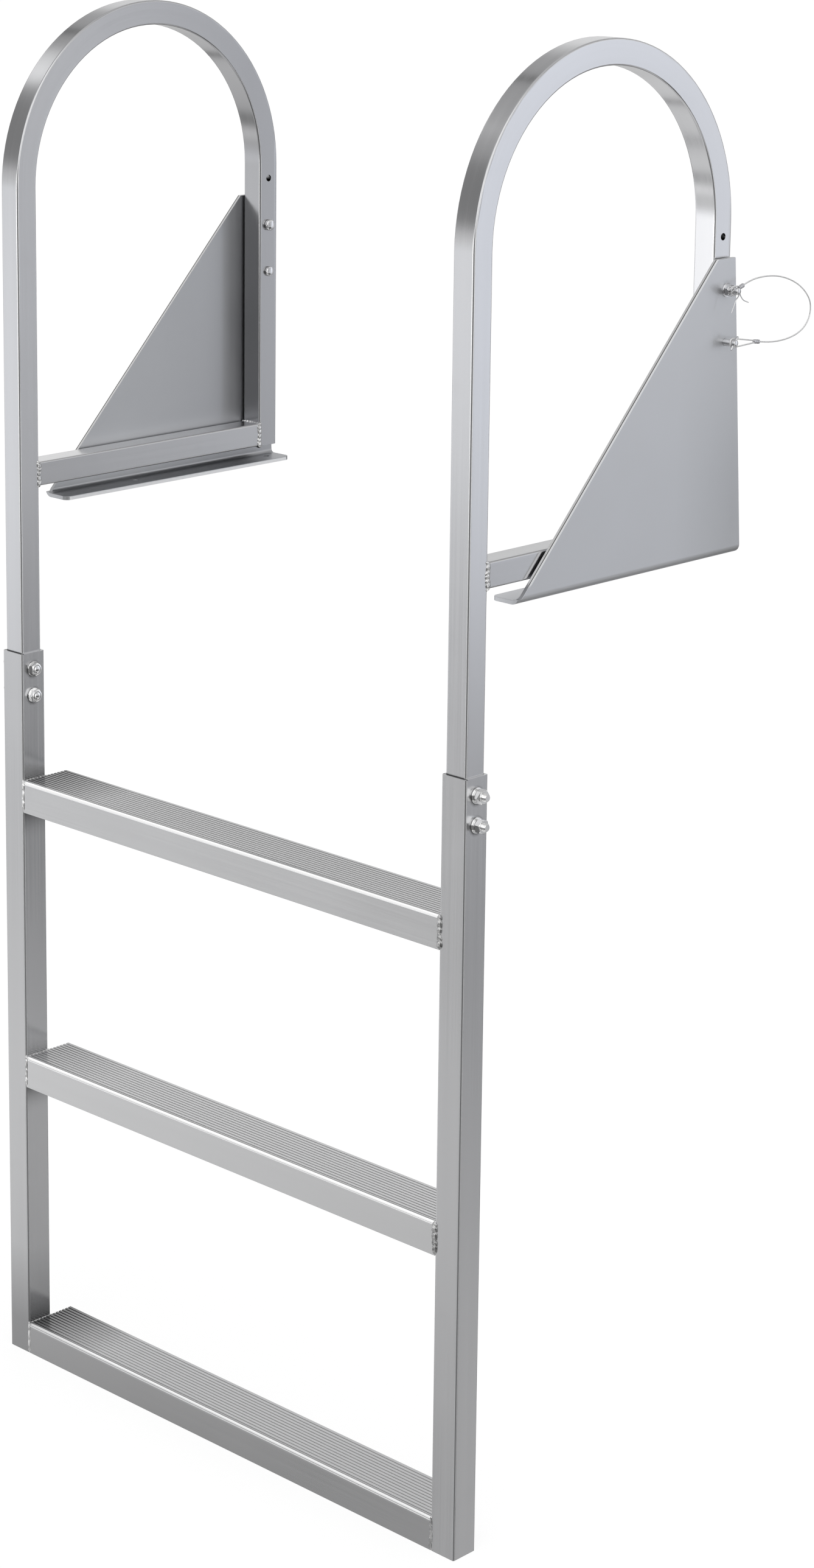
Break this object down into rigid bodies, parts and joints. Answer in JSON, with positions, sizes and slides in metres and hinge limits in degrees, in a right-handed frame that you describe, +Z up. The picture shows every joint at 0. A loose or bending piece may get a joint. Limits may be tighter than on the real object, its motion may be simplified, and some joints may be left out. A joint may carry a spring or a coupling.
{
  "type": "dock ladder with looped handrails",
  "caption": "Aluminium dock ladder with ribbed treads, looped square-tube handrails and bent deck brackets; the ladder flips up about its bracket bolts.",
  "frame": {"origin": "centre of the underside of the left bracket's flange, where it stands on the deck", "axes": "+Z up, +X along the treads from the left bracket to the right one, -Y out over the water"},
  "size_m": [0.688, 0.4704, 1.4249],
  "materials": {
    "rail_tube": "satin brushed lengthwise",
    "handrail_tube": "satin brushed lengthwise",
    "tread": "satin extrusion with ribbed top",
    "bracket_sheet": "satin sheet",
    "bolt_steel": "bright stainless",
    "pin_steel": "turned stainless",
    "wire_steel": "stranded stainless wire"
  },
  "bodies": {
    "brackets": {"left_bracket": "bracket_sheet", "left_lock_pin_end": "pin_steel", "left_pivot_bolt": "pin_steel", "left_pivot_nut": "pin_steel", "left_pivot_washer": "pin_steel", "left_split_pin": "pin_steel", "right_bracket": "bracket_sheet", "right_lanyard": "wire_steel", "right_lock_pin_end": "pin_steel", "right_lower_eye": "wire_steel", "right_pivot_bolt": "pin_steel", "right_pivot_nut": "pin_steel", "right_pivot_washer": "pin_steel", "right_split_pin": "pin_steel", "right_upper_eye": "wire_steel"},
    "ladder": {"bottom_tread": "tread", "left_cross_tube": "handrail_tube", "left_handrail": "handrail_tube", "left_lock_pin_head": "pin_steel", "left_lower_bolt": "bolt_steel", "left_lower_nut": "bolt_steel", "left_lower_washer": "bolt_steel", "left_rail": "rail_tube", "left_upper_bolt": "bolt_steel", "left_upper_nut": "bolt_steel", "left_upper_washer": "bolt_steel", "middle_tread": "tread", "right_cross_tube": "handrail_tube", "right_handrail": "handrail_tube", "right_lock_pin_head": "pin_steel", "right_lower_bolt": "bolt_steel", "right_lower_nut": "bolt_steel", "right_lower_washer": "bolt_steel", "right_rail": "rail_tube", "right_upper_bolt": "bolt_steel", "right_upper_nut": "bolt_steel", "right_upper_washer": "bolt_steel", "top_tread": "tread"}
  },
  "joints": [
    {"name": "flip", "type": "hinge", "parent": "brackets", "child": "ladder", "pos_m": [0.312, 0.128, 0.26], "axis": [-1, 0, 0], "range_deg": [0, 180]}
  ]
}
